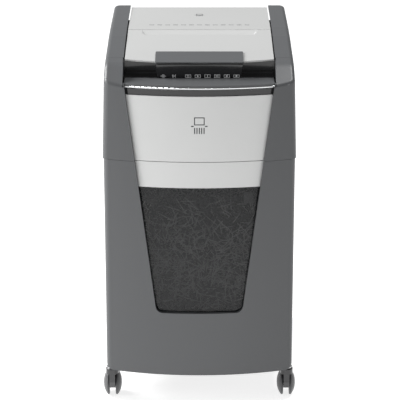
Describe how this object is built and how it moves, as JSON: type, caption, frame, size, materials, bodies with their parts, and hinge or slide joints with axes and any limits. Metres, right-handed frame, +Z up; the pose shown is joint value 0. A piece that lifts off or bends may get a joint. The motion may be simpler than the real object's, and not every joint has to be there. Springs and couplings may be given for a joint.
{
  "type": "paper shredder",
  "caption": "Stack-feed office paper shredder on castors, with a hinged lid over the paper chamber, a manual slot, meshing cutters and a pull-out waste drawer with a smoked window.",
  "frame": {"origin": "on the floor under the middle of the machine", "axes": "+Z up, -Y to the front, +X to the right seen from the front"},
  "size_m": [0.3988, 0.508, 0.734],
  "materials": {
    "silver_plastic": "satin silver paint",
    "grey_plastic": "fine texture",
    "black_gloss": "gloss",
    "chrome_trim": "polished",
    "smoked_window": "smoked",
    "black_plastic": "satin",
    "bin_plastic": "satin",
    "sheet_steel": "zinc plated",
    "bright_steel": "bright",
    "cutter_steel": "hardened, oiled",
    "gear_steel": "machined",
    "bearing_bronze": "sintered",
    "comb_plastic": "satin",
    "motor_can": "satin",
    "rubber": "matt",
    "circuit_board": "satin",
    "castor_black": "gloss",
    "castor_wheel": "satin"
  },
  "bodies": {
    "cabinet": {"base_tray": "black_plastic", "side_panel_left": "grey_plastic", "side_panel_right": "grey_plastic", "rear_cover": "grey_plastic", "upper_housing": "grey_plastic", "front_fascia": "silver_plastic", "fascia_groove": "black_gloss", "chrome_strip": "chrome_trim", "front_ledge": "grey_plastic", "pod_recess": "black_gloss", "control_pod": "black_gloss", "chassis_deck": "sheet_steel", "frame_plate_left": "sheet_steel", "frame_plate_right": "sheet_steel", "tie_rods": "bright_steel", "cutter_bearings": "bearing_bronze", "cutter_combs": "comb_plastic", "paper_tray": "black_plastic", "feed_throat": "black_plastic", "drive_motor": "motor_can", "feed_belt": "rubber", "control_board": "circuit_board", "power_inlet": "black_plastic", "switch_frame": "black_plastic", "cover_screws": "bright_steel", "drawer_rails": "sheet_steel", "castor_pins": "bright_steel", "lid_hinge_brackets": "sheet_steel", "lid_hinge_pins": "bright_steel"},
    "lid": {"lid_panel": "silver_plastic", "lid_rail_left": "grey_plastic", "lid_rail_right": "grey_plastic", "lid_liner": "black_plastic", "slot_guide": "black_plastic", "lid_handle": "grey_plastic", "pressure_springs": "bright_steel"},
    "pressure_plate": {"pressure_plate": "sheet_steel"},
    "drawer": {"drawer_front": "grey_plastic", "drawer_band": "silver_plastic", "bin_window": "smoked_window", "waste_bin": "bin_plastic", "drawer_runners": "sheet_steel"},
    "cutter_front": {"cutter_front": "cutter_steel", "sync_gear_front": "gear_steel"},
    "cutter_rear": {"cutter_rear": "cutter_steel", "sync_gear_rear": "gear_steel", "drive_gear": "gear_steel"},
    "feed_roller_front": {"feed_roller_front": "rubber"},
    "feed_roller_rear": {"feed_roller_rear": "rubber"},
    "idler": {"idler_gear": "gear_steel"},
    "motor_rotor": {"motor_pinion": "gear_steel"},
    "power_rocker": {"power_rocker": "black_plastic"},
    "castor_front_left": {"castor_fork_front_left": "castor_black"},
    "wheels_front_left": {"castor_wheels_front_left": "castor_wheel"},
    "castor_front_right": {"castor_fork_front_right": "castor_black"},
    "wheels_front_right": {"castor_wheels_front_right": "castor_wheel"},
    "castor_rear_left": {"castor_fork_rear_left": "castor_black"},
    "wheels_rear_left": {"castor_wheels_rear_left": "castor_wheel"},
    "castor_rear_right": {"castor_fork_rear_right": "castor_black"},
    "wheels_rear_right": {"castor_wheels_rear_right": "castor_wheel"}
  },
  "joints": [
    {"name": "lid_hinge", "type": "hinge", "parent": "cabinet", "child": "lid", "pos_m": [0, 0.248, 0.7], "axis": [-1, 0, 0], "range_deg": [0, 90]},
    {"name": "pressure_plate_slide", "type": "slide", "parent": "lid", "child": "pressure_plate", "axis": [0, 0, 1], "range_m": [0, 0.008], "stiffness_N_per_m": 500, "springref_m": -0.008, "deforming": ["pressure_springs"]},
    {"name": "drawer_slide", "type": "slide", "parent": "cabinet", "child": "drawer", "axis": [0, -1, 0], "range_m": [0, 0.33]},
    {"name": "cutter_front_spin", "type": "hinge", "parent": "cabinet", "child": "cutter_front", "pos_m": [0, -0.028, 0.592], "axis": [1, 0, 0], "continuous": true},
    {"name": "cutter_rear_spin", "type": "hinge", "parent": "cabinet", "child": "cutter_rear", "pos_m": [0, 0.016, 0.592], "axis": [1, 0, 0], "continuous": true},
    {"name": "idler_spin", "type": "hinge", "parent": "cabinet", "child": "idler", "pos_m": [0, 0.0685, 0.592], "axis": [1, 0, 0], "continuous": true},
    {"name": "motor_spin", "type": "hinge", "parent": "cabinet", "child": "motor_rotor", "pos_m": [0, 0.1135, 0.592], "axis": [1, 0, 0], "continuous": true},
    {"name": "feed_roller_front_spin", "type": "hinge", "parent": "cabinet", "child": "feed_roller_front", "pos_m": [0, -0.021, 0.652], "axis": [1, 0, 0], "continuous": true},
    {"name": "feed_roller_rear_spin", "type": "hinge", "parent": "cabinet", "child": "feed_roller_rear", "pos_m": [0, 0.009, 0.652], "axis": [1, 0, 0], "continuous": true},
    {"name": "power_rocker_tilt", "type": "hinge", "parent": "cabinet", "child": "power_rocker", "pos_m": [0.09, 0.244, 0.555], "axis": [1, 0, 0], "range_deg": [0, 16]},
    {"name": "castor_swivel_front_left", "type": "hinge", "parent": "cabinet", "child": "castor_front_left", "pos_m": [-0.1805, -0.196, 0.06], "axis": [0, 0, 1], "continuous": true},
    {"name": "castor_roll_front_left", "type": "hinge", "parent": "castor_front_left", "child": "wheels_front_left", "pos_m": [-0.1805, -0.176, 0.027], "axis": [1, 0, 0], "continuous": true},
    {"name": "castor_swivel_front_right", "type": "hinge", "parent": "cabinet", "child": "castor_front_right", "pos_m": [0.1805, -0.196, 0.06], "axis": [0, 0, 1], "continuous": true},
    {"name": "castor_roll_front_right", "type": "hinge", "parent": "castor_front_right", "child": "wheels_front_right", "pos_m": [0.1805, -0.176, 0.027], "axis": [1, 0, 0], "continuous": true},
    {"name": "castor_swivel_rear_left", "type": "hinge", "parent": "cabinet", "child": "castor_rear_left", "pos_m": [-0.1805, 0.2, 0.06], "axis": [0, 0, 1], "continuous": true},
    {"name": "castor_roll_rear_left", "type": "hinge", "parent": "castor_rear_left", "child": "wheels_rear_left", "pos_m": [-0.1805, 0.22, 0.027], "axis": [1, 0, 0], "continuous": true},
    {"name": "castor_swivel_rear_right", "type": "hinge", "parent": "cabinet", "child": "castor_rear_right", "pos_m": [0.1805, 0.2, 0.06], "axis": [0, 0, 1], "continuous": true},
    {"name": "castor_roll_rear_right", "type": "hinge", "parent": "castor_rear_right", "child": "wheels_rear_right", "pos_m": [0.1805, 0.22, 0.027], "axis": [1, 0, 0], "continuous": true}
  ],
  "couplings": [
    {"joint": "cutter_rear_spin", "follows": "cutter_front_spin", "ratio": -1},
    {"joint": "idler_spin", "follows": "cutter_front_spin", "ratio": 4},
    {"joint": "motor_spin", "follows": "cutter_front_spin", "ratio": -16},
    {"joint": "feed_roller_front_spin", "follows": "cutter_front_spin", "ratio": 1},
    {"joint": "feed_roller_rear_spin", "follows": "cutter_front_spin", "ratio": -1}
  ]
}
